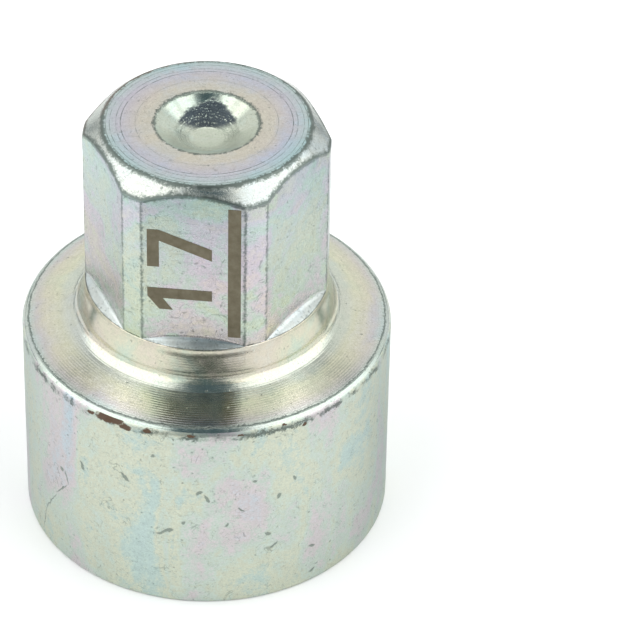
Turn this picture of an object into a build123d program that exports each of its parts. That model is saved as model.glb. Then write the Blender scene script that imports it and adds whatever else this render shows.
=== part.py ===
import os
from math import cos, radians, sin, sqrt, tan

from build123d import *

# Key socket for coded locking wheel bolts, standing on the open rim of its skirt.
# Z is the turning axis: the skirt opens downwards and the hexagon drive points up.
# All lengths are in millimetres, all angles in degrees.

# Skirt, the thin wall that covers the bolt head
skirt_radius = 14.25
skirt_wall = 1.65
floor_depth = 13.0
bore_taper = 0.65
bore_taper_height = 3.5
floor_corner_bevel = 0.35
rim_inner_bevel = 0.5
rim_outer_bevel = 0.18

# Shoulder and neck above the skirt
floor_thickness = 4.15
shoulder_slope = 13.8
shoulder_edge_round = 0.6
neck_fillet_width = 1.13
neck_fillet_height = 1.26
neck_flare = 0.44
neck_taper_height = 1.55

# Hexagon drive
across_flats = 17.0
corner_trim = 0.465
drive_length = 13.92
ledge_rise = 0.8
ledge_slope = 26.0
top_bevel_width = 1.5
top_bevel_drop = 1.35

# Centre dimple in the top face
dimple_radius = 3.95
dimple_wall_slope = 31.0
dimple_floor_radius = 1.47
dimple_edge_bevel = 0.12

# Coded insert in the floor of the skirt
lobe_count = 8
lobe_phase = 12.9
ring_tip_radius = 8.6
ring_lobe_round = 2.85
ring_valley_round = 0.8
ring_height = 3.25
ring_end_bevel = 0.5
ring_wall = 1.75
pocket_lobe_round = 2.2
pocket_valley_round = 0.5
pocket_depth = 8.0
pocket_lead_in = 0.2
base_radius = 10.3
base_recess = 1.0
base_thickness = 2.0
shank_wall = 1.15
shank_floor = 1.25

# Fits between the insert and its seat in the body
base_clearance = 0.05
shank_fit = 0.0
shank_end_gap = 0.2

# Radii that follow from the sizes above
bore_radius = skirt_radius - skirt_wall
floor_radius = bore_radius - bore_taper
corner_radius = across_flats / sqrt(3) - corner_trim
ridge_radius = corner_radius + neck_flare
foot_radius = ridge_radius + neck_fillet_width
top_face_radius = corner_radius - top_bevel_width
pocket_tip_radius = ring_tip_radius - ring_wall
shank_radius = pocket_tip_radius + shank_wall

# Heights that follow from the sizes above
shoulder_edge_height = floor_depth + floor_thickness
shoulder_rise = tan(radians(shoulder_slope))
foot_height = shoulder_edge_height + shoulder_rise * (skirt_radius - foot_radius)
ridge_height = foot_height + neck_fillet_height
neck_top_height = ridge_height + neck_taper_height
ledge_height = neck_top_height + ledge_rise
total_height = ledge_height + drive_length
ring_end_height = floor_depth - ring_height
base_face_height = floor_depth + base_recess
seat_height = base_face_height + base_thickness
shank_end_height = ring_end_height + pocket_depth + shank_floor


def upright_cylinder(radius, low, high):
    bottom_up = (Align.CENTER, Align.CENTER, Align.MIN)
    return Pos(0, 0, low) * Cylinder(radius, high - low, align=bottom_up)


def turned_blank():
    """The turned outside of the body, still round where the hexagon will be."""
    shoulder_edge = (skirt_radius, shoulder_edge_height)
    foot = (foot_radius, foot_height)
    ridge = (ridge_radius, ridge_height)
    bevel_foot = (corner_radius, total_height - top_bevel_drop)
    bevel_top = (top_face_radius, total_height)
    along_shoulder = (-cos(radians(shoulder_slope)), sin(radians(shoulder_slope)))
    with BuildPart() as blank:
        with BuildSketch(Plane.XZ) as profile:
            with BuildLine():
                Polyline((0, 0), (skirt_radius, 0), shoulder_edge, foot)
                TangentArc(foot, ridge, tangent=along_shoulder)
                Polyline(
                    ridge,
                    (corner_radius, neck_top_height),
                    bevel_foot,
                    bevel_top,
                    (0, total_height),
                    (0, 0),
                )
            make_face()
            corners = profile.vertices()
            chamfer(corners.sort_by_distance((skirt_radius, 0))[0], rim_outer_bevel)
            fillet(corners.sort_by_distance(shoulder_edge)[0], shoulder_edge_round)
        revolve(axis=Axis.Z)
    return blank.part


def skirt_bore():
    """The cup that the bolt head goes into, a little narrower near its floor."""
    floor_edge = (floor_radius, floor_depth)
    with BuildPart() as bore:
        with BuildSketch(Plane.XZ) as profile:
            with BuildLine():
                Polyline(
                    (0, 0),
                    (bore_radius + rim_inner_bevel, 0),
                    (bore_radius, rim_inner_bevel),
                    (bore_radius, floor_depth - bore_taper_height),
                    floor_edge,
                    (0, floor_depth),
                    (0, 0),
                )
            make_face()
            chamfer(profile.vertices().sort_by_distance(floor_edge)[0], floor_corner_bevel)
        revolve(axis=Axis.Z)
    return bore.part


def insert_seat():
    """The stepped bore in the floor that takes the base and the shank of the insert."""
    base_seat = upright_cylinder(base_radius + base_clearance, floor_depth, seat_height)
    shank_seat = upright_cylinder(
        shank_radius + shank_fit, seat_height, shank_end_height + shank_end_gap
    )
    return base_seat + shank_seat


def flats_cutter():
    """Everything outside the hexagon, down to the cone where the flats run out."""
    inner_radius = top_face_radius / 2
    outer_radius = skirt_radius
    cone_drop = tan(radians(ledge_slope))
    inner_height = ledge_height + cone_drop * (across_flats / 2 - inner_radius)
    outer_height = ledge_height - cone_drop * (outer_radius - across_flats / 2)
    clear_height = total_height + top_bevel_drop
    with BuildPart() as cutter:
        with BuildSketch(Plane.XZ):
            Polygon(
                (inner_radius, inner_height),
                (outer_radius, outer_height),
                (outer_radius, clear_height),
                (inner_radius, clear_height),
                align=None,
            )
        revolve(axis=Axis.Z)
        with BuildSketch():
            RegularPolygon(across_flats / 2, 6, major_radius=False)
        extrude(amount=clear_height, mode=Mode.SUBTRACT)
    return cutter.part


def dimple():
    """The cone with a small flat bottom in the middle of the top face."""
    dimple_depth = (dimple_radius - dimple_floor_radius) * tan(radians(dimple_wall_slope))
    with BuildPart() as hollow:
        with BuildSketch(Plane.XZ):
            Polygon(
                (0, total_height),
                (dimple_radius, total_height),
                (dimple_floor_radius, total_height - dimple_depth),
                (0, total_height - dimple_depth),
                align=None,
            )
        revolve(axis=Axis.Z)
    return hollow.part


def drive_body():
    body = turned_blank() - flats_cutter() - skirt_bore() - insert_seat() - dimple()
    top_rings = body.edges().filter_by(GeomType.CIRCLE).group_by(Axis.Z)[-1]
    return chamfer(top_rings.sort_by(SortBy.RADIUS)[0], dimple_edge_bevel)


def lobed_outline(tip_radius, lobe_round, valley_round):
    """A wavy outline: equal round lobes on a circle, with the valleys between them rounded."""
    pitch_radius = tip_radius - lobe_round
    with BuildSketch(Plane.XY.offset(ring_end_height)) as outline:
        Circle(pitch_radius)
        with PolarLocations(pitch_radius, lobe_count, start_angle=lobe_phase):
            Circle(lobe_round)
        fillet(outline.vertices(), valley_round)
    return outline.sketch


def key_insert():
    """Base, shank and lobed ring in one piece, with the lobed pocket inside them."""
    ring = lobed_outline(ring_tip_radius, ring_lobe_round, ring_valley_round)
    pocket = lobed_outline(pocket_tip_radius, pocket_lobe_round, pocket_valley_round)
    insert = upright_cylinder(base_radius, base_face_height, seat_height)
    insert += upright_cylinder(shank_radius, seat_height, shank_end_height)
    insert += extrude(ring, base_face_height - ring_end_height)
    insert = chamfer(insert.edges().group_by(Axis.Z)[0], ring_end_bevel)
    insert -= extrude(pocket, pocket_depth)
    pocket_mouth = insert.faces().sort_by(Axis.Z)[0].inner_wires()[0].edges()
    return chamfer(pocket_mouth, pocket_lead_in)


os.makedirs("parts", exist_ok=True)
export_step(drive_body(), "parts/drive_body.step")
export_step(key_insert(), "parts/key_insert.step")
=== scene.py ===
from math import acos, atan2, cos, exp, log, pi, radians, sin, sqrt, tan

import bmesh
import bpy
from mathutils import Matrix, Quaternion, Vector, noise


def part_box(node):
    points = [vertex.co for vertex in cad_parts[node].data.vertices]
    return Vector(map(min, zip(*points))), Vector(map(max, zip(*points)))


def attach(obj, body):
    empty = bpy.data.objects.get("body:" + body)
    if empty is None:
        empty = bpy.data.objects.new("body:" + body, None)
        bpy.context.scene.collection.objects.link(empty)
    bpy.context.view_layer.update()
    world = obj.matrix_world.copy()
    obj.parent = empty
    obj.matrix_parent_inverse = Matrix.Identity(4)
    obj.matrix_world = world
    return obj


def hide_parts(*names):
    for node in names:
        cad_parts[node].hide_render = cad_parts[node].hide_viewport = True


mm = 0.001

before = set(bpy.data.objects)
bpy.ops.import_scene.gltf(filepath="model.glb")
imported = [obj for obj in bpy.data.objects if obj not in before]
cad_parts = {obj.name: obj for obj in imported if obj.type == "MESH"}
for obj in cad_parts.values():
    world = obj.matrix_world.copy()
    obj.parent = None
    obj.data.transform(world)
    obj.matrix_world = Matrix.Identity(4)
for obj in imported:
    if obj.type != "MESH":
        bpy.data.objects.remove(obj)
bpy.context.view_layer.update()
print("frame loaded")

# The camera looks down at the key from a little to the right of its marked flat
camera = {
    "azimuth": radians(6.87),
    "elevation": radians(38.98),
    "distance": 328.2 * mm,
    "lookHeight": 17.68 * mm,
    "turnRight": radians(1.523),
    "turnDown": radians(0.161),
    "lens": 239.2,
    "sensor": 36.0,
    "clip": (10 * mm, 20.0),
}


def makeCamera(settings):
    azimuth, elevation = settings["azimuth"], settings["elevation"]
    back = Vector((sin(azimuth) * cos(elevation), -cos(azimuth) * cos(elevation), sin(elevation)))
    data = bpy.data.cameras.new("camera")
    data.sensor_width = settings["sensor"]
    data.lens = settings["lens"]
    data.clip_start, data.clip_end = settings["clip"]
    obj = bpy.data.objects.new("camera", data)
    bpy.context.collection.objects.link(obj)
    obj.location = Vector((0, 0, settings["lookHeight"])) + back * settings["distance"]
    obj.rotation_mode = "QUATERNION"
    aim = (-back).to_track_quat("-Z", "Y")
    turn = Quaternion((0, 1, 0), -settings["turnRight"])
    dip = Quaternion((1, 0, 0), -settings["turnDown"])
    obj.rotation_quaternion = aim @ turn @ dip
    bpy.context.scene.camera = obj


makeCamera(camera)


# Short names for the nodes that every material here is made of
class NodeTools:
    def __init__(self, tree):
        self.tree = tree
        tree.nodes.clear()

    def put(self, kind, inputs, **options):
        node = self.tree.nodes.new(kind)
        for key, value in options.items():
            setattr(node, key, value)
        for key, value in inputs.items():
            if isinstance(value, bpy.types.NodeSocket):
                self.tree.links.new(value, node.inputs[key])
            else:
                node.inputs[key].default_value = value
        return node

    def math(self, operation, first, second=0.0, third=0.0):
        inputs = {0: first, 1: second, 2: third}
        return self.put("ShaderNodeMath", inputs, operation=operation).outputs[0]

    # Value times factor, plus base
    def add(self, value, factor, base):
        return self.math("MULTIPLY_ADD", value, factor, base)

    def times(self, first, second):
        return self.math("MULTIPLY", first, second)

    # How far a value is from a place, to either side
    def away(self, value, place):
        return self.math("ABSOLUTE", self.math("SUBTRACT", value, place))

    def vector(self, operation, first, second):
        inputs = {0: first, 1: second}
        return self.put("ShaderNodeVectorMath", inputs, operation=operation).outputs[0]

    def length(self, vector):
        return self.put("ShaderNodeVectorMath", {0: vector}, operation="LENGTH").outputs["Value"]

    def along(self, vector, direction):
        inputs = {0: vector, 1: direction}
        node = self.put("ShaderNodeVectorMath", inputs, operation="DOT_PRODUCT")
        return node.outputs["Value"]

    def scaled(self, vector, factor):
        inputs = {0: vector, "Scale": factor}
        return self.put("ShaderNodeVectorMath", inputs, operation="SCALE").outputs[0]

    # 0 below the low value, 1 above the high one, smooth between them
    def step(self, value, low, high):
        inputs = {"Value": value, "From Min": low, "From Max": high}
        return self.put("ShaderNodeMapRange", inputs, interpolation_type="SMOOTHSTEP").outputs[0]

    # The same in a straight line
    def share(self, value, low, high):
        inputs = {"Value": value, "From Min": low, "From Max": high}
        return self.put("ShaderNodeMapRange", inputs).outputs[0]

    # The other way: low at 0 and high at 1
    def between(self, value, low, high):
        inputs = {"Value": value, "To Min": low, "To Max": high}
        return self.put("ShaderNodeMapRange", inputs).outputs[0]

    def mix(self, factor, first, second):
        inputs = {0: factor, 6: first, 7: second}
        return self.put("ShaderNodeMix", inputs, data_type="RGBA").outputs[2]

    def noise(self, vector, scale, detail=3.0, roughness=0.5, distortion=0.0):
        inputs = {"Vector": vector, "Scale": scale, "Detail": detail}
        inputs.update({"Roughness": roughness, "Distortion": distortion})
        return self.put("ShaderNodeTexNoise", inputs).outputs["Fac"]

    def ramp(self, value, stops):
        node = self.put("ShaderNodeValToRGB", {0: value})
        elements = node.color_ramp.elements
        while len(elements) < len(stops):
            elements.new(0.5)
        for element, (place, colour) in zip(elements, stops):
            element.position = place
            element.color = colour
        return node.outputs[0]

    # The place on a piece, in millimetres
    def piecePoint(self):
        coords = self.put("ShaderNodeTexCoord", {})
        return self.scaled(coords.outputs["Object"], 1 / mm)

    # A place or a direction in the studio: X to the right, Y away from the camera
    def studioPoint(self, output):
        coords = self.put("ShaderNodeTexCoord", {})
        inputs = {"Vector": coords.outputs[output], "Angle": -camera["azimuth"]}
        return self.put("ShaderNodeVectorRotate", inputs, rotation_type="Z_AXIS").outputs[0]

    # Relief is in micrometres
    def bump(self, relief):
        inputs = {"Height": relief, "Strength": 1.0, "Distance": 0.001 * mm}
        return self.put("ShaderNodeBump", inputs).outputs[0]

    def surface(self, **inputs):
        inputs = {key.replace("_", " "): value for key, value in inputs.items()}
        shader = self.put("ShaderNodeBsdfPrincipled", inputs)
        self.put("ShaderNodeOutputMaterial", {0: shader.outputs[0]})


def newMaterial(name, kind=NodeTools, *more):
    material = bpy.data.materials.new(name)
    material.use_nodes = True
    return material, kind(material.node_tree, *more)


# Studio, in metres and turned with the camera: a pale table in a white tent, soft
# boxes on both sides, and the dark opening that the camera looks through
table = {
    "size": 6.0,
    "colour": (0.95, 0.95, 0.95, 1),
    "roughness": 0.9,
}
tent = {
    "colour": (1.15, 1.16, 1.15, 1),
    "openingColour": (0.102, 0.153, 0.182, 1),
    "shownColour": (1, 1, 1, 1),
    "slotHalfWidth": 0.19,
    "slotFarTaper": 0.42,
    "slotNearTaper": 0.16,
    "slotBlur": 0.045,
    "frontOpening": 0.805,
    "frontBlur": 0.06,
    "horizonBand": (0.0, 0.16),
    "gapSlant": 0.31,
    "gapPlace": 0.62,
    "gapEdges": (0.085, 0.03),
    "gapStart": (0.18, 0.26),
    "gapShare": 0.55,
}
softBoxes = [
    {
        "name": "softBox", "upperEdge": (0.30, 0.47), "lowerEdge": (0.69, 0.03),
        "front": 1.6, "back": -0.26, "radiance": 1.0,
    },
    {
        "name": "strip", "upperEdge": (0.14, 0.5), "lowerEdge": (0.30, 0.47),
        "front": 0.25, "back": -0.08, "radiance": 1.0,
    },
    {
        "name": "farStrip", "upperEdge": (0.045, 0.5), "lowerEdge": (0.12, 0.5),
        "front": -0.18, "back": -0.31, "radiance": 1.7,
    },
]
# Two sheets lie just over the table, and only reflections see them: its dark front, and a painted
# shade behind the key that stands in for the key's own shadow on the table
darkCard = {
    "near": 0.056,
    "far": 0.7,
    "halfWidth": 0.048,
    "height": 0.1 * mm,
    "colour": (0.09, 0.1, 0.1, 1),
}
# The painted shade sheet: its colour, where it starts and how far it reaches, and its darker
# wedges
shade = {
    "size": 0.2,
    "height": 0.05 * mm,
    "colour": (0.48, 0.53, 0.54, 1),
    "turn": radians(-8),
    "spread": -0.45,
    "start": (-0.021, 0.004),
    "reach": (0.014, 0.055),
    "wedgeShadeColour": (0.12, 0.2, 0.19, 1),
    "wedgeAngle": 0.33,
    "wedgeEdges": (0.11, 0.03),
    "wedgeReach": (0.036, 0.046),
}
toStudio = Matrix.Rotation(camera["azimuth"], 4, "Z")


def paperMaterial(name, colour):
    material, tools = newMaterial(name)
    tools.surface(Base_Color=colour, Roughness=table["roughness"], Specular_IOR_Level=0.0)
    return material


def makeSheet(name, nearSide, farSide, halfWidth, height, material):
    mesh = bpy.data.meshes.new(name)
    bm = bmesh.new()
    bmesh.ops.create_grid(bm, x_segments=1, y_segments=1, size=1.0)
    bmesh.ops.scale(bm, vec=(halfWidth, (farSide - nearSide) / 2, 1), verts=bm.verts)
    bmesh.ops.translate(bm, vec=(0, -(farSide + nearSide) / 2, height), verts=bm.verts)
    bmesh.ops.transform(bm, matrix=toStudio, verts=bm.verts)
    bm.to_mesh(mesh)
    bm.free()
    mesh.materials.append(material)
    obj = bpy.data.objects.new(name, mesh)
    bpy.context.collection.objects.link(obj)
    return obj


def makeSoftBox(box, side, sideName):
    (upperX, upperZ), (lowerX, lowerZ) = box["upperEdge"], box["lowerEdge"]
    front, back = box["front"], box["back"]
    width = Vector((lowerX - upperX, lowerZ - upperZ)).length
    length = front - back
    data = bpy.data.lights.new(box["name"] + sideName, "AREA")
    data.shape = "RECTANGLE"
    data.size = length
    data.size_y = width
    data.energy = box["radiance"] * width * length * pi  # an even radiance over its face
    obj = bpy.data.objects.new(data.name, data)
    bpy.context.collection.objects.link(obj)
    middle = Vector((side * (upperX + lowerX) / 2, -(front + back) / 2, (upperZ + lowerZ) / 2))
    facing = Vector((-side * (upperZ - lowerZ), 0, -(lowerX - upperX)))
    aim = facing.to_track_quat("-Z", "Y").to_matrix().to_4x4()
    obj.matrix_world = toStudio @ Matrix.Translation(middle) @ aim
    obj.visible_camera = False


# Painted shade: paper that darkens towards the foot of the key on its far side, in place of the
# key's shadow
def paintedShadeMaterial(settings):
    material, tools = newMaterial("paintedShadePaper")
    place = tools.studioPoint("Object")
    split = tools.put("ShaderNodeSeparateXYZ", {0: place})
    sideways, depth = split.outputs["X"], split.outputs["Y"]
    radius = tools.length(place)
    near, far = settings["reach"]
    close = tools.share(radius, far, near)
    start = tools.add(sideways, -sin(settings["turn"]), depth)
    start = tools.add(radius, settings["spread"], start)
    share = tools.times(tools.step(start, *settings["start"]), close)
    colour = tools.mix(share, table["colour"], settings["colour"])
    # The painted shade is darkest in a narrow wedge on each side
    angle = tools.math("ARCTAN2", depth, tools.math("ABSOLUTE", sideways))
    paintedShadeWedge = tools.step(tools.away(angle, settings["wedgeAngle"]), *settings["wedgeEdges"])
    paintedShadeWedge = tools.times(paintedShadeWedge, tools.step(radius, *settings["wedgeReach"]))
    colour = tools.mix(paintedShadeWedge, colour, settings["wedgeShadeColour"])
    tools.surface(Base_Color=colour, Roughness=table["roughness"], Specular_IOR_Level=0.0)
    return material


def makeTent(settings):
    world = bpy.data.worlds.new("tent")
    bpy.context.scene.world = world
    world.use_nodes = True
    tools = NodeTools(world.node_tree)
    split = tools.put("ShaderNodeSeparateXYZ", {0: tools.studioPoint("Generated")})
    sideways = tools.math("ABSOLUTE", split.outputs["X"])
    towards = tools.times(split.outputs["Y"], -1.0)
    # The slot overhead is widest at the camera and closes towards the far side
    overhead = settings["slotHalfWidth"]
    farTaper = tools.add(towards, settings["slotFarTaper"], overhead)
    nearTaper = tools.add(towards, settings["slotNearTaper"], overhead)
    beyondSlot = tools.math("SUBTRACT", sideways, tools.math("MINIMUM", farTaper, nearTaper))
    blur = settings["slotBlur"]
    opening, openingBlur = settings["frontOpening"], settings["frontBlur"]
    lit = tools.times(
        tools.step(beyondSlot, -blur, blur),
        tools.step(towards, opening + openingBlur, opening - openingBlur),
    )
    lit = tools.times(lit, tools.step(split.outputs["Z"], *settings["horizonBand"]))
    # The gap between the side boxes and the far wall of the tent
    fromGap = tools.add(sideways, settings["gapSlant"], -settings["gapPlace"])
    gap = tools.step(tools.away(fromGap, towards), *settings["gapEdges"])
    gap = tools.times(gap, tools.step(sideways, *settings["gapStart"]))
    gap = tools.times(gap, settings["gapShare"])
    lit = tools.times(lit, tools.math("SUBTRACT", 1.0, gap))
    colour = tools.mix(lit, settings["openingColour"], settings["colour"])
    path = tools.put("ShaderNodeLightPath", {})
    shown = tools.mix(path.outputs["Is Camera Ray"], colour, settings["shownColour"])
    background = tools.put("ShaderNodeBackground", {0: shown, "Strength": 1.0})
    tools.put("ShaderNodeOutputWorld", {0: background.outputs[0]})


half = table["size"] / 2
makeSheet("floor", -half, half, half, 0.0, paperMaterial("floorPaper", table["colour"]))
cardSheet = makeSheet(
    "darkCard", darkCard["near"], darkCard["far"], darkCard["halfWidth"], darkCard["height"],
    paperMaterial("cardPaper", darkCard["colour"]),
)
# The sheet of painted shade, seen only in reflections
half = shade["size"] / 2
paintedShadeSheet = makeSheet("shade", -half, half, half, shade["height"], paintedShadeMaterial(shade))
for sheet in (cardSheet, paintedShadeSheet):
    sheet.visible_camera = False
    sheet.visible_diffuse = False
    sheet.visible_shadow = False
for sideName, side in (("Left", -1), ("Right", 1)):
    for box in softBoxes:
        makeSoftBox(box, side, sideName)
makeTent(tent)
bpy.context.scene.view_settings.view_transform = "Standard"
print("camera and studio ready")

# The finished body, in millimetres until it is done: a turned section for every
# column round it, whose middle rows follow the milled flats
bodyLow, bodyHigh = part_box("drive_body")
body = {
    "skirtRadius": bodyHigh.x / mm,
    "topHeight": bodyHigh.z / mm,
    "shoulderEdgeHeight": 17.15,
    "filletCorner": (9.925, 18.214),
    "ridge": (9.79, 19.23),
    "neckTopHeight": 20.78,
    "acrossFlats": 17.0,
    "cornerRadius": 9.35,
    "cornerBlend": 0.012,
    "ledgeHeight": 21.58,
    "ledgeSlope": radians(26.0),
    "bevelWidth": 1.5,
    "bevelDrop": 1.35,
    "dimpleRadius": 3.95,
    "dimpleSlope": radians(31.0),
    "dimpleFloorRadius": 1.47,
    "boreRadius": 12.6,
    "rimBevel": 0.5,
    "taperStart": 9.5,
    "floorRadius": 11.95,
    "floorHeight": 13.0,
    "baseSeat": (10.35, 16.0),
    "shankSeat": (8.0, 19.2),
    "wobble": 0.012,  # the surface lies 1 to 2 wobbles inside the solid
    "wobbleInset": 1.5,
    "wobbleWaves": 7,
    "wobbleHeight": 9,
    "uprightEdgeGap": 0.08,  # the upright edges of the flats are worn a little less
}
halfFlats = body["acrossFlats"] / 2
edgeAngle = acos(halfFlats / body["cornerRadius"])  # from the middle of a flat to its edge
edgeZone = radians(0.7)
zones = ("dimple", "top", "bevel", "flats", "ledge", "neck", "shoulder", "skirt", "cup")


def evenSteps(low, high, count):
    return [low + (high - low) * i / count for i in range(count)]


# Turns from the middle of a flat, from one corner of the hexagon to the next,
# close together where a flat meets the turned strip beside it
columnTurns = (
    evenSteps(-radians(30), -edgeAngle - edgeZone, 5)
    + evenSteps(-edgeAngle - edgeZone, -edgeAngle + edgeZone, 9)
    + evenSteps(-edgeAngle + edgeZone, edgeAngle - edgeZone, 44)
    + evenSteps(edgeAngle - edgeZone, edgeAngle + edgeZone, 9)
    + evenSteps(edgeAngle + edgeZone, radians(30), 5)
)
flatAzimuths = [radians(-90 + 60 * i) for i in range(6)]


# A corner of the section: how far its round reaches along both sides, the steps on
# the round and on the run after it, the zone of that run, and whether it is worn
def corner(radius, height, reach=0.0, arcSteps=0, runSteps=1, zone="cup", worn=False):
    return {
        "point": Vector((radius, height)),
        "reach": reach,
        "arcSteps": arcSteps,
        "runSteps": runSteps,
        "zone": zones.index(zone),
        "worn": worn,
    }


# The corners of the section at one turn from the middle of a flat, from the bottom
# of the dimple over the outside to the rim and up into the seat of the insert
def sectionCorners(turn, s):
    top, cornerRadius = s["topHeight"], s["cornerRadius"]
    dimpleFloor = s["dimpleFloorRadius"]
    dimpleBottom = top - (s["dimpleRadius"] - dimpleFloor) * tan(s["dimpleSlope"])
    blend = s["cornerBlend"]
    flatRadius = halfFlats / cos(turn)
    # The smaller of the flat's and the corner's radius, with a soft change between them
    mill = -blend * log(exp((cornerRadius - flatRadius) / blend) + 1) + cornerRadius
    bevelTop = cornerRadius - s["bevelWidth"]
    bevelFoot = top - s["bevelDrop"] * (mill - bevelTop) / s["bevelWidth"]
    ledgeRoot = s["ledgeHeight"] - tan(s["ledgeSlope"]) * (mill - halfFlats)
    ledgeEdge = s["ledgeHeight"] - tan(s["ledgeSlope"]) * (cornerRadius - halfFlats)
    ledge = (cornerRadius - mill) / cos(s["ledgeSlope"])
    skirt, bore, floor = s["skirtRadius"], s["boreRadius"], s["floorHeight"]
    seatRadius, seatHeight = s["baseSeat"]
    shankRadius, shankHeight = s["shankSeat"]
    return [
        corner(0, dimpleBottom, runSteps=5, zone="dimple"),
        corner(dimpleFloor, dimpleBottom, 0.6, 7, 12, "dimple"),
        corner(s["dimpleRadius"], top, 0.2, 4, 14, "top", True),
        corner(bevelTop, top, 0.1, 3, 6, "bevel", True),
        corner(mill, bevelFoot, 0.13, 5, 16, "flats", True),
        corner(mill, ledgeRoot, min(0.3, 0.45 * ledge), 5, 4, "ledge"),
        corner(cornerRadius, ledgeEdge, min(0.12, 0.45 * ledge), 4, 2, "neck", ledge > 0.1),
        corner(cornerRadius, s["neckTopHeight"], 0.4, 5, 5, "neck"),
        corner(*s["ridge"], 0.13, 3, 1, "neck"),
        corner(*s["filletCorner"], 0.87, 14, 12, "shoulder"),
        corner(skirt, s["shoulderEdgeHeight"], 0.47, 8, 18, "skirt", True),
        corner(skirt, 0, 0.2, 4, 3),
        corner(bore + s["rimBevel"], 0, 0.1, 3, 3, worn=True),
        corner(bore, s["rimBevel"], 0.1, 3, 8),
        corner(bore, s["taperStart"], 0.5, 3, 5),
        corner(s["floorRadius"], floor, 0.35, 5, 5),
        corner(seatRadius, floor, 0.05, 2),
        corner(seatRadius, seatHeight),
        corner(shankRadius, seatHeight),
        corner(shankRadius, shankHeight),
        corner(0, shankHeight),
    ]


# The rows of a section: runs between its corners, with a true arc at each round one
def sectionRows(corners):
    rows = [(corners[0]["point"], corners[0]["zone"])]
    for before, here, after in zip(corners, corners[1:], corners[2:] + [corners[-1]]):
        point = here["point"]
        inward = (point - before["point"]).normalized()
        outward = (after["point"] - point).normalized()
        start, end = point - inward * here["reach"], point + outward * here["reach"]
        last = rows[-1][0]
        for i in range(before["runSteps"]):
            share = 0.5 - 0.5 * cos(pi * (i + 1) / before["runSteps"])  # closer at its ends
            rows.append((last.lerp(start, share), before["zone"]))
        weight = sqrt(max(0.0, (1 + inward.dot(outward)) / 2))
        for i in range(here["arcSteps"]):
            t = (i + 1) / here["arcSteps"]
            a, b, c = (1 - t) ** 2, 2 * t * (1 - t) * weight, t * t
            place = (start * a + point * b + end * c) / (a + b + c)
            rows.append((place, before["zone"] if t <= 0.5 else here["zone"]))
    return rows


# How far a row lies from the nearest worn edge, the upright edges of the flats included
def edgeGap(place, zone, turn, corners, uprightEdgeGap):
    gaps = [(place - c["point"]).length for c in corners if c["worn"]]
    if zones[zone] == "flats":
        gaps.append(abs(abs(turn) - edgeAngle) * place.x + uprightEdgeGap)
    return min(gaps)


def makeBody(settings):
    sections = []
    for turn in columnTurns:
        corners = sectionCorners(turn, settings)
        rows = sectionRows(corners)
        upright = settings["uprightEdgeGap"]
        gaps = [edgeGap(place, zone, turn, corners, upright) for place, zone in rows]
        sections.append((rows, gaps))
    columns = [
        (middle + turn, section)
        for middle in flatAzimuths
        for turn, section in zip(columnTurns, sections)
    ]
    count = len(columns)
    bm = bmesh.new()
    rowLayer = bm.verts.layers.int.new("row")
    gapLayer = bm.verts.layers.float.new("edgeGap")
    firstRows = columns[0][1][0]
    profile = [bm.verts.new((place.x, 0, place.y)) for place, zone in firstRows]
    for i, vert in enumerate(profile):
        vert[rowLayer] = i
    for lower, upper in zip(profile, profile[1:]):
        bm.edges.new((lower, upper))
    bmesh.ops.spin(
        bm, geom=bm.verts[:] + bm.edges[:], cent=(0, 0, 0), axis=(0, 0, 1),
        angle=2 * pi, steps=count, use_merge=True,
    )
    for face in bm.faces:
        row = min(vert[rowLayer] for vert in face.verts)
        face.material_index = firstRows[row + 1][1]
        face.smooth = True
    # Each vertex goes to its own section, which mills the flats
    waves, waveHeight = settings["wobbleWaves"], settings["wobbleHeight"]
    for vert in bm.verts:
        column = round(atan2(vert.co.y, vert.co.x) / (2 * pi) * count) % count
        azimuth, (rows, gaps) = columns[column]
        place, zone = rows[vert[rowLayer]]
        # A hair inside the solid, and not quite even
        direction = Vector((cos(azimuth), sin(azimuth), place.y / waveHeight))
        inset = settings["wobbleInset"] + noise.noise(direction * waves)
        radius = max(0.0, place.x - settings["wobble"] * inset)
        vert.co = (radius * cos(azimuth), radius * sin(azimuth), place.y)
        vert[gapLayer] = gaps[vert[rowLayer]]
    bmesh.ops.remove_doubles(bm, verts=bm.verts, dist=0.0002)
    bmesh.ops.recalc_face_normals(bm, faces=bm.faces)
    bmesh.ops.scale(bm, vec=(mm, mm, mm), verts=bm.verts)
    mesh = bpy.data.meshes.new("driveBody")
    bm.to_mesh(mesh)
    bm.free()
    obj = bpy.data.objects.new("driveBody", mesh)
    bpy.context.collection.objects.link(obj)
    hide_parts("drive_body")
    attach(obj, "root")
    print("body made:", len(mesh.polygons), "faces")
    return obj


bodyPiece = makeBody(body)


# A colour as the eye sees it, 0 to 255, made linear
def tint(red, green, blue):
    return (*[((v / 255 + 0.055) / 1.055) ** 2.4 for v in (red, green, blue)], 1)


def threeTints(first, second, third):
    return [(0.3, tint(*first)), (0.5, tint(*second)), (0.7, tint(*third))]


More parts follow.
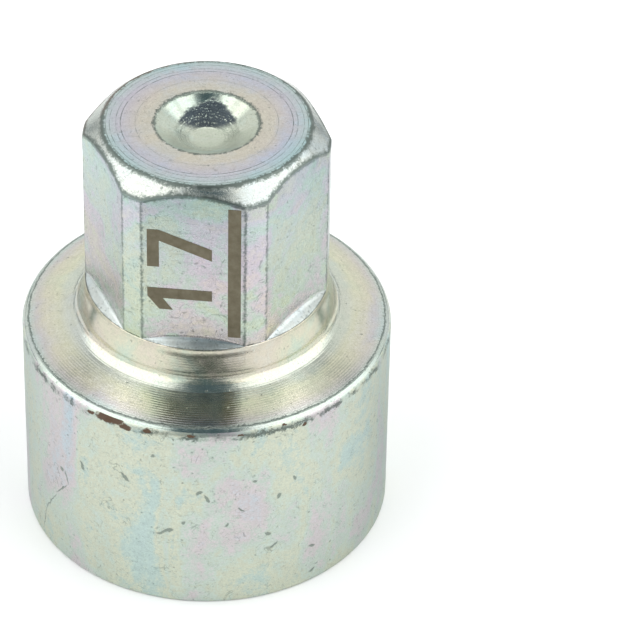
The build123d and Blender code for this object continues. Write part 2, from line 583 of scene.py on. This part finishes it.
# Bright zinc over turned or milled steel. Lengths in the shaders are in millimetres,
# heights of the relief in micrometres.
# drift: tints that change slowly over the surface
# ramp: tints along the radius or the height, and their share
# wear: middle and half width of the worn line beside an edge, its strength, its gaps
# ringLines: radius and strength of single turned lines
# waves, rings, hairs, pits, flecks: how strong the turning lines and the marks are
# upright: below 1 stretches the drifts upwards; ragged: how uneven the worn line is
zincLooks = {
    "dimple": {
        "drift": threeTints((196, 208, 188), (206, 212, 196), (194, 210, 200)),
        "roughness": 0.16, "waves": 0.15, "rings": 0.6, "hairs": 0.1, "pits": 0.2,
        "wear": (0.0, 0.16, 0.75, 0.15), "grooved": True,
    },
    "top": {
        "drift": threeTints((208, 196, 196), (208, 204, 190), (190, 202, 208)),
        "ramp": {
            "along": "radius", "low": 4.0, "high": 7.9, "share": 0.6,
            "stops": [
                (0.0, tint(210, 204, 188)), (0.25, tint(208, 202, 190)),
                (0.42, tint(200, 196, 202)), (0.62, tint(190, 190, 212)),
                (0.8, tint(182, 200, 214)), (1.0, tint(170, 206, 206)),
            ],
        },
        "roughness": 0.24, "waves": 0.1, "rings": 1.0, "hairs": 0.6, "pits": 0.4,
        "wear": (0.0, 0.2, 0.85, 0.1), "ragged": 1.4, "browned": True,
        "ringLines": ((5.35, 0.5), (6.45, 1.0), (6.8, 0.7), (7.27, 0.7), (7.58, 0.9)),
    },
    "bevel": {
        "drift": threeTints((198, 208, 202), (206, 210, 202), (196, 206, 206)),
        "roughness": 0.2, "waves": 0.2, "rings": 0.8, "hairs": 0.7, "pits": 0.5, "flecks": 0.5,
        "wear": (0.0, 0.38, 0.9, 0.12), "ragged": 1.7, "browned": True,
    },
    "flats": {
        "drift": [
            (0.28, tint(180, 217, 211)), (0.4, tint(209, 222, 194)), (0.48, tint(194, 219, 207)),
            (0.56, tint(215, 203, 218)), (0.64, tint(221, 207, 202)), (0.74, tint(215, 220, 187)),
        ],
        "ramp": {
            "along": "height", "low": 21.5, "high": 35.0, "share": 0.4,
            "stops": [
                (0.0, tint(212, 216, 196)), (0.35, tint(214, 210, 200)),
                (0.6, tint(212, 208, 214)), (0.85, tint(198, 214, 216)),
                (1.0, tint(176, 210, 210)),
            ],
        },
        "roughness": 0.27, "waves": 0.0, "rings": 0.1, "hairs": 0.8, "pits": 0.4,
        "wear": (0.0, 0.22, 0.7, 0.25),
    },
    "ledge": {
        "drift": threeTints((198, 208, 206), (206, 212, 208), (196, 208, 212)),
        "roughness": 0.3, "waves": 0.2, "rings": 1.0, "hairs": 0.9, "pits": 0.6, "flecks": 0.7,
        "wear": (0.0, 0.12, 0.5, 0.3),
    },
    "neck": {
        "drift": [
            (0.3, tint(204, 220, 204)), (0.45, tint(220, 218, 196)), (0.55, tint(220, 212, 196)),
            (0.7, tint(206, 214, 208)),
        ],
        "roughness": 0.2, "waves": 0.3, "rings": 0.8, "hairs": 0.3, "pits": 0.4,
        "wear": (0.0, 0.1, 0.4, 0.3),
    },
    "shoulder": {
        "drift": threeTints((204, 220, 200), (216, 218, 196), (204, 212, 212)),
        "ramp": {
            "along": "radius", "low": 10.9, "high": 14.25, "share": 0.6,
            "stops": [
                (0.0, tint(204, 208, 200)), (0.2, tint(214, 212, 186)),
                (0.5, tint(216, 208, 190)), (0.7, tint(204, 195, 201)),
                (0.86, tint(186, 203, 202)), (1.0, tint(190, 200, 198)),
            ],
        },
        "roughness": 0.17, "waves": 2.4, "rings": 0.9, "hairs": 0.3, "pits": 0.5,
        "wear": (0.5, 0.09, 0.8, 0.1),
    },
    "skirt": {
        "drift": [
            (0.25, tint(195, 214, 212)), (0.38, tint(198, 217, 211)), (0.46, tint(216, 219, 199)),
            (0.54, tint(204, 218, 208)), (0.62, tint(216, 207, 209)), (0.75, tint(196, 211, 219)),
        ],
        "upright": 0.45,
        "roughness": 0.34, "waves": 0.0, "rings": 0.15, "hairs": 0.8, "pits": 0.45,
        "wear": (0.54, 0.3, 0.85, 0.45), "ragged": 2.4, "marked": True,
    },
    "cup": {
        "drift": threeTints((176, 190, 182), (190, 196, 184), (180, 192, 196)),
        "roughness": 0.3, "waves": 0.3, "rings": 1.0, "hairs": 0.3, "pits": 0.5,
        "wear": (0.0, 0.15, 0.6, 0.2),
    },
}
# What all zones share. Noises give their scale per millimetre, detail, roughness and,
# where there is one, distortion. Pairs are the ends of a smooth step, or of a range.
plating = {
    "mottle": (1.3, 6.0, 0.7),
    "grain": (7.0, 4.0, 0.65),
    "drift": (0.16, 3.0, 0.6, 0.6),
    "turning": (6.0, 5.0, 0.75),
    "patches": (0.8, 3.0, 0.6),
    "flecks": (4.5, 2.0, 0.5),
    "driftMottle": 0.3,
    "driftGrain": 0.15,
    "rampWaver": 0.5,
    "mottleTone": (0.69, 0.91),
    "grainTone": (0.74, 1.28),
    "ringTone": (0.16, 0.18),
    "hairPlaces": [((3.1, 7.7, 1.9), 0.55), ((13.7, 2.3, 8.9), 0.95)],
    "hairNoise": (2.0, 0.6, 1.0),
    "hairEdges": (0.009, 0.002),
    "hairPatches": (0.53, 0.6),
    "hairStrength": 0.5,
    "scratchTurns": [(20, 10, 40), (120, 80, 15), (40, 140, 75)],
    "scratchScale": (0.3, 11.0, 11.0),
    "scratchEdges": (0.69, 0.75),
    "pitScale": 1.3,
    "pitEdges": (0.16, 0.06),
    "pitRagged": 0.4,
    "pitChoice": (0.55, 0.65),
    "fleckEdges": (0.6, 0.7),
    "fleckPatches": (0.42, 0.6),
    "fleckStrength": 0.3,
    "wearRagged": (0.5, 0.45),  # by the mottle and by the grain
    "wearEdges": (1.2, 0.3),  # in half widths
    "ringLineEdges": (0.05, 0.015),
    "ringLinePatches": (0.38, 0.54),
    "ringLineTone": (0.1, 1.3),
    "mottleRoughness": 0.2,
    "darkRoughness": 0.2,
    "turningPitch": 0.25,
    "ringRelief": 1.6,
    "relief": {"grain": 2.0, "hairs": -1.5, "pits": -12.0, "mottle": 4.0, "wear": -6.0},
    "wornColour": tint(86, 97, 92),
    "brownColour": tint(98, 85, 74),
    "brownSide": (-0.75, 0.66, 0),
    "brownMottle": 6.0,
    "brownEdges": (5.3, 7.3),
}
# The tool left rough grooves low on the dimple's wall. On the far side, which faces the camera,
# they carry a painted dark reflection, and they are a little greyer towards the far side
grooves = {
    "innerEdges": (1.30, 1.35),
    "outerEdges": (3.65, 3.3),
    "ragged": 1.2,
    "narrowing": 0.45,
    "pitch": 0.2,
    "height": 4.0,
    "ringShift": 20.0,
    "mottleShift": 10.0,
    "farSide": (-0.12, 0.993, 0),
    # The painted dark reflection: its colour, strength and edges, and the streaks that break it
    # up
    "darkReflectionColour": tint(38, 48, 62),
    "darkReflectionStrength": 0.93,
    "darkReflectionEdges": (0.7, 1.5),
    "streakEdges": (0.72, 0.58),
    "streakGrain": 0.9,
    "wornEdges": (-0.6, 1.0),
    "wornStrength": 0.1,
    "dullEdges": (0.6, -0.8),
    "dullness": 0.3,
}
# Dings, cracks and rust on the skirt: azimuth in degrees, height, half length and half
# width in mm, turn in degrees. The far half carries the same marks as the near one.
skirtMarks = {
    "dings": [
        (-124.9, 10.8, 0.42, 0.13, -65), (-134.5, 9.0, 0.22, 0.13, -60),
        (-99.7, 14.4, 0.16, 0.12, 0), (-109.0, 11.6, 0.42, 0.16, -50),
        (-85.6, 11.2, 0.3, 0.12, 20), (-83.1, 10.6, 0.4, 0.12, -55),
        (-72.7, 9.3, 0.3, 0.1, -40), (-60.6, 10.0, 0.25, 0.14, 60),
        (-97.0, 6.9, 0.42, 0.12, 28), (-95.0, 7.2, 0.36, 0.16, 24),
        (-90.2, 8.1, 0.16, 0.12, 0), (-64.0, 6.4, 0.3, 0.12, -30),
        (-62.0, 5.1, 0.34, 0.1, 40), (-77.0, 7.9, 0.2, 0.1, 60),
        (-48.5, 3.6, 0.3, 0.12, -20), (-48.3, 1.1, 0.3, 0.14, 35),
        (-68.4, 12.0, 0.2, 0.1, 10), (-55.2, 11.3, 0.24, 0.1, -70),
        (-132.3, 8.5, 0.6, 0.065, -70), (-135.0, 6.9, 1.0, 0.06, 48),
        (-141.0, 4.6, 1.3, 0.06, 58), (-145.4, 2.2, 1.4, 0.05, 78),
    ],
    "rustSpots": [
        (-114.2, 16.85, 1.2, 0.4, 6), (-108.8, 16.6, 0.5, 0.3, 0), (-101.5, 16.75, 0.3, 0.22, 0),
        (-88.0, 16.8, 0.35, 0.1, 0), (-73.0, 16.75, 0.25, 0.08, 4), (-52.0, 16.3, 0.17, 0.16, 0),
        (-121.0, 16.7, 0.4, 0.14, 10), (-59.0, 16.95, 0.2, 0.07, -8),
    ],
    "flipHeight": 15.8,  # the dings of the far half are upside down over this height
    "shakeScale": 2.5,
    "shakeDetail": 4.0,
    "shake": (0.4, 0.4, 0.0),
    "dingColour": tint(128, 138, 130),
    "dingStrength": 0.9,
    "dingEdges": (1.35, 0.75),
    "dingHeight": -25.0,
    "rustColour": tint(92, 70, 52),
    "rustEdges": (1.2, 0.85),
    "rustRagged": 0.8,
    "rustDullness": 0.4,
}


# The nodes of one zone's zinc, built up method by method
class ZincTools(NodeTools):
    def __init__(self, tree, look):
        super().__init__(tree)
        self.look = look
        self.point = self.piecePoint()
        split = self.put("ShaderNodeSeparateXYZ", {0: self.point})
        self.x, self.y, self.height = split.outputs
        outward = self.put("ShaderNodeCombineXYZ", {0: self.x, 1: self.y})
        self.radius = self.length(outward.outputs[0])
        self.mottle = self.noise(self.point, *plating["mottle"])
        self.grain = self.noise(self.point, *plating["grain"])
        self.speckle = self.math("SUBTRACT", self.grain, 0.5)
        self.cloud = self.math("SUBTRACT", self.mottle, 0.5)

    # Slow drifts of the passivated zinc, bands that follow the form, and turning lines
    def startColour(self):
        upright = self.vector("MULTIPLY", self.point, (1, 1, self.look.get("upright", 1.0)))
        drift = self.noise(upright, *plating["drift"])
        uneven = self.add(self.cloud, plating["driftMottle"], drift)
        uneven = self.add(self.speckle, plating["driftGrain"], uneven)
        colour = self.ramp(uneven, self.look["drift"])
        if "ramp" in self.look:
            ramp = self.look["ramp"]
            low, high = ramp["low"], ramp["high"]
            waver = self.math("SUBTRACT", uneven, 0.5)
            place = self.radius if ramp["along"] == "radius" else self.height
            place = self.add(waver, plating["rampWaver"] * (high - low), place)
            bands = self.ramp(self.share(place, low, high), ramp["stops"])
            colour = self.mix(ramp["share"], colour, bands)
        section = self.put("ShaderNodeCombineXYZ", {0: self.radius, 1: self.height}).outputs[0]
        self.rings = self.noise(section, *plating["turning"])
        tone = self.between(self.mottle, *plating["mottleTone"])
        tone = self.times(tone, self.between(self.grain, *plating["grainTone"]))
        darker, lighter = [part * self.look["rings"] for part in plating["ringTone"]]
        self.tone = self.times(tone, self.between(self.rings, 1 - darker, 1 + lighter))
        self.colour = self.scaled(colour, self.tone)

    # Thin curved lines where a slow noise passes its middle value, here and there
    def hairField(self, shift, scale):
        moved = self.vector("ADD", self.point, shift)
        away = self.away(self.noise(moved, scale, *plating["hairNoise"]), 0.5)
        here = self.step(self.noise(moved, scale * 1.3, 1.0), *plating["hairPatches"])
        return self.times(self.step(away, *plating["hairEdges"]), here)

    # Hairlines, straight scratches, small dark pits and flecks
    def findMarks(self):
        first, second = [self.hairField(*place) for place in plating["hairPlaces"]]
        hairs = self.math("MAXIMUM", first, second)
        for turn in plating["scratchTurns"]:
            turned = [radians(v) for v in turn]
            inputs = {0: self.point, 2: turned, 3: plating["scratchScale"]}
            stretched = self.put("ShaderNodeMapping", inputs).outputs[0]
            scratch = self.step(self.noise(stretched, 1.0, 2.0), *plating["scratchEdges"])
            hairs = self.math("MAXIMUM", hairs, scratch)
        self.hairs = self.times(hairs, self.look["hairs"])
        inputs = {"Vector": self.point, "Scale": plating["pitScale"]}
        cells = self.put("ShaderNodeTexVoronoi", inputs)
        chosen = self.put("ShaderNodeSeparateColor", {0: cells.outputs["Color"]}).outputs[0]
        ragged = self.add(self.speckle, plating["pitRagged"], cells.outputs["Distance"])
        pits = self.step(ragged, *plating["pitEdges"])
        pits = self.times(pits, self.step(chosen, *plating["pitChoice"]))
        self.pits = self.times(pits, self.look["pits"])
        self.patches = self.noise(self.point, *plating["patches"])
        flecks = self.step(self.noise(self.point, *plating["flecks"]), *plating["fleckEdges"])
        self.flecks = self.times(flecks, self.step(self.patches, *plating["fleckPatches"]))

    # Edges rubbed down to grey steel, in a ragged line
    def findWear(self):
        gap = self.put("ShaderNodeAttribute", {}, attribute_name="edgeGap").outputs["Fac"]
        middle, halfWidth, strength, gaps = self.look["wear"]
        uneven = self.look.get("ragged", 1.0)
        byMottle, byGrain = [part * uneven for part in plating["wearRagged"]]
        ragged = self.add(self.cloud, byMottle, gap)
        ragged = self.add(self.speckle, byGrain, ragged)
        outer, inner = [halfWidth * edge for edge in plating["wearEdges"]]
        wear = self.step(self.away(ragged, middle), outer, inner)
        here = self.step(self.patches, 0.1 + 0.65 * gaps, 0.3 + 0.6 * gaps)
        self.wear = self.times(self.times(wear, here), strength)

    def addMarks(self):
        dark = self.times(self.hairs, plating["hairStrength"])
        dark = self.math("MAXIMUM", dark, self.pits)
        fleckStrength = self.look.get("flecks", plating["fleckStrength"])
        dark = self.math("MAXIMUM", dark, self.times(self.flecks, fleckStrength))
        dark = self.math("MAXIMUM", dark, self.wear)
        worn = plating["wornColour"]
        if "browned" in self.look:
            browned = self.along(self.point, plating["brownSide"])
            browned = self.add(self.cloud, plating["brownMottle"], browned)
            browned = self.step(browned, *plating["brownEdges"])
            worn = self.mix(browned, worn, plating["brownColour"])
        self.colour = self.mix(dark, self.colour, worn)
        for ringRadius, strength in self.look.get("ringLines", ()):
            line = self.step(self.away(self.radius, ringRadius), *plating["ringLineEdges"])
            line = self.times(line, self.step(self.mottle, *plating["ringLinePatches"]))
            line = self.times(line, self.between(self.patches, *plating["ringLineTone"]))
            self.colour = self.mix(self.times(line, strength), self.colour, plating["wornColour"])
        roughness = self.add(self.cloud, plating["mottleRoughness"], self.look["roughness"])
        self.roughness = self.add(dark, plating["darkRoughness"], roughness)

    # Turning lines run round the neck and the shoulder
    def startRelief(self):
        across = self.math("SUBTRACT", self.height, self.radius)
        across = self.times(across, 2 * pi / plating["turningPitch"])
        relief = self.times(self.math("SINE", across), self.look["waves"])
        relief = self.add(self.rings, plating["ringRelief"] * self.look["rings"], relief)
        for field, height in plating["relief"].items():
            relief = self.add(getattr(self, field), height, relief)
        self.relief = relief

    # Rough turning grooves low in the dimple, with a painted dark reflection on the wall's far
    # side
    def addGrooves(self, settings):
        ragged = self.add(self.cloud, settings["ragged"], self.radius)
        ragged = self.add(self.math("ABSOLUTE", self.x), settings["narrowing"], ragged)
        rough = self.times(
            self.step(self.radius, *settings["innerEdges"]),
            self.step(ragged, *settings["outerEdges"]),
        )
        waves = self.math("SINE", self.times(self.radius, 2 * pi / settings["pitch"]))
        ringShift = self.math("SUBTRACT", self.rings, 0.5)
        waves = self.add(ringShift, settings["ringShift"], waves)
        waves = self.add(self.cloud, settings["mottleShift"], waves)
        self.relief = self.add(self.times(rough, waves), settings["height"], self.relief)
        farSide = self.along(self.point, settings["farSide"])
        # Painted dark reflection on the far wall, broken into streaks along the turning lines
        darkReflection = self.times(rough, self.step(farSide, *settings["darkReflectionEdges"]))
        worn = self.times(rough, self.step(farSide, *settings["wornEdges"]))
        dull = self.step(farSide, *settings["dullEdges"])
        self.roughness = self.add(dull, settings["dullness"], self.roughness)
        streaks = self.add(self.speckle, settings["streakGrain"], self.rings)
        darkReflection = self.times(darkReflection, self.step(streaks, *settings["streakEdges"]))
        darkReflection = self.times(darkReflection, settings["darkReflectionStrength"])
        self.colour = self.mix(darkReflection, self.colour, settings["darkReflectionColour"])
        worn = self.times(worn, settings["wornStrength"])
        self.colour = self.mix(worn, self.colour, plating["wornColour"])

    # Distance from the nearest of the patches, 1 at its rim
    def patchField(self, unrolled, patches, skirtRadius):
        field = None
        for azimuth, height, length, width, turn in patches:
            inputs = {
                0: unrolled,
                1: (radians(azimuth) * skirtRadius, height, 0),
                2: (0, 0, radians(turn)),
                3: (length, width, 1),
            }
            placed = self.put("ShaderNodeMapping", inputs, vector_type="TEXTURE").outputs[0]
            inside = self.length(placed)
            field = inside if field is None else self.math("MINIMUM", field, inside)
        return field

    # The skirt is unrolled round its near half, with the far half laid over it
    def addSkirtMarks(self, settings, skirtRadius):
        far = self.math("GREATER_THAN", self.y, 0.0)
        azimuth = self.add(far, -pi, self.math("ARCTAN2", self.y, self.x))
        flip = settings["flipHeight"]
        dingHeight = self.math("PINGPONG", self.add(far, flip, self.height), flip)
        around = self.times(azimuth, skirtRadius)
        unrolled = self.put("ShaderNodeCombineXYZ", {0: around, 1: dingHeight}).outputs[0]
        inputs = {"Vector": self.point, "Scale": settings["shakeScale"]}
        inputs["Detail"] = settings["shakeDetail"]
        shaken = self.put("ShaderNodeTexNoise", inputs).outputs["Color"]
        shake = self.vector("SUBTRACT", shaken, (0.5, 0.5, 0.5))
        shake = self.vector("MULTIPLY", shake, settings["shake"])
        unrolled = self.vector("ADD", unrolled, shake)
        ding = self.patchField(unrolled, settings["dings"], skirtRadius)
        ding = self.step(ding, *settings["dingEdges"])
        strength = self.times(ding, settings["dingStrength"])
        self.colour = self.mix(strength, self.colour, settings["dingColour"])
        self.relief = self.add(ding, settings["dingHeight"], self.relief)
        unrolled = self.put("ShaderNodeCombineXYZ", {0: around, 1: self.height}).outputs[0]
        unrolled = self.vector("ADD", unrolled, shake)
        rust = self.patchField(unrolled, settings["rustSpots"], skirtRadius)
        rust = self.add(self.speckle, settings["rustRagged"], rust)
        rust = self.step(rust, *settings["rustEdges"])
        rustColour = self.scaled(settings["rustColour"][:3], self.tone)
        self.colour = self.mix(rust, self.colour, rustColour)
        self.roughness = self.add(rust, settings["rustDullness"], self.roughness)
        self.metallic = self.math("SUBTRACT", 1.0, rust)


def zincMaterial(name, look, skirtRadius):
    material, tools = newMaterial("zinc" + name.capitalize(), ZincTools, look)
    tools.metallic = 1.0
    tools.startColour()
    tools.findMarks()
    tools.findWear()
    tools.addMarks()
    tools.startRelief()
    if "grooved" in look:
        tools.addGrooves(grooves)
    if "marked" in look:
        tools.addSkirtMarks(skirtMarks, skirtRadius)
    normal = tools.bump(tools.relief)
    tools.surface(
        Base_Color=tools.colour, Metallic=tools.metallic, Roughness=tools.roughness, Normal=normal
    )
    return material


for zone in zones:
    bodyPiece.data.materials.append(zincMaterial(zone, zincLooks[zone], body["skirtRadius"]))
print("zinc ready")

# The black insert, rubbed a little brighter at the end of its ring
blackOxide = {
    "mottle": (1.2, 5.0, 0.65),
    "grain": (8.0, 3.0, 0.6),
    "stops": [(0.3, tint(44, 46, 46)), (0.55, tint(58, 60, 58)), (0.8, tint(78, 78, 74))],
    "wornColour": tint(120, 122, 118),
    "wornHeights": (10.3, 9.9),
    "wornStrength": 0.5,
    "metallic": 0.85,
    "roughness": 0.32,
}


def blackMaterial(look):
    material, tools = newMaterial("blackOxide")
    point = tools.piecePoint()
    mottle = tools.noise(point, *look["mottle"])
    grain = tools.noise(point, *look["grain"])
    colour = tools.ramp(mottle, look["stops"])
    height = tools.put("ShaderNodeSeparateXYZ", {0: point}).outputs["Z"]
    worn = tools.step(tools.add(mottle, 0.4, height), *look["wornHeights"])
    colour = tools.mix(tools.times(worn, look["wornStrength"]), colour, look["wornColour"])
    normal = tools.bump(tools.add(mottle, 3.0, grain))
    roughness = tools.add(mottle, 0.2, look["roughness"])
    tools.surface(
        Base_Color=colour, Metallic=look["metallic"], Roughness=roughness, Normal=normal
    )
    return material


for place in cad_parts["key_insert"].material_slots:
    place.material = blackMaterial(blackOxide)

# The size mark on the front flat, burnt in by a laser: the wrench size and a plain bar.
# A figure's corners go along the key first, then across the flat; its top points left.
sizeMark = {
    "strokes": [
        [(1.35, 0), (2.3, 0), (2.3, 4.85), (1.5, 4.85), (0.3, 3.95), (0.3, 2.95), (1.35, 3.7)],
        [(4.3, 4.85), (4.3, 3.95), (6.75, 3.95), (5.15, 0), (6.2, 0), (7.75, 3.95), (7.75, 4.85)],
    ],
    "foot": 1.4,
    "start": 23.9,
    "bar": (2.59, 3.56, 21.95, 34.0),
    "proud": 0.006,
    "mottle": (1.5, 5.0, 0.7),
    "stops": [(0.3, tint(93, 86, 67)), (0.5, tint(105, 98, 79)), (0.75, tint(121, 114, 95))],
    "metallic": 0.35,
    "roughness": 0.55,
}


def makeMark(settings):
    bm = bmesh.new()
    surface = -halfFlats - settings["proud"]
    for stroke in settings["strokes"]:
        bm.faces.new([
            bm.verts.new((settings["foot"] - up, surface, settings["start"] + along))
            for along, up in stroke
        ])
    left, right, low, high = settings["bar"]
    bm.faces.new([
        bm.verts.new((x, surface, z))
        for x, z in ((left, low), (right, low), (right, high), (left, high))
    ])
    walls = bmesh.ops.extrude_face_region(bm, geom=bm.faces[:])
    moved = [item for item in walls["geom"] if isinstance(item, bmesh.types.BMVert)]
    bmesh.ops.translate(bm, vec=(0, 3 * settings["proud"], 0), verts=moved)
    bmesh.ops.recalc_face_normals(bm, faces=bm.faces)
    bmesh.ops.scale(bm, vec=(mm, mm, mm), verts=bm.verts)
    mesh = bpy.data.meshes.new("sizeMark")
    bm.to_mesh(mesh)
    bm.free()
    obj = bpy.data.objects.new("sizeMark", mesh)
    bpy.context.collection.objects.link(obj)
    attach(obj, "root")
    return obj


def markMaterial(settings):
    material, tools = newMaterial("laserBurn")
    colour = tools.ramp(tools.noise(tools.piecePoint(), *settings["mottle"]), settings["stops"])
    tools.surface(
        Base_Color=colour, Metallic=settings["metallic"], Roughness=settings["roughness"]
    )
    return material


makeMark(sizeMark).data.materials.append(markMaterial(sizeMark))
print("insert and size mark ready")
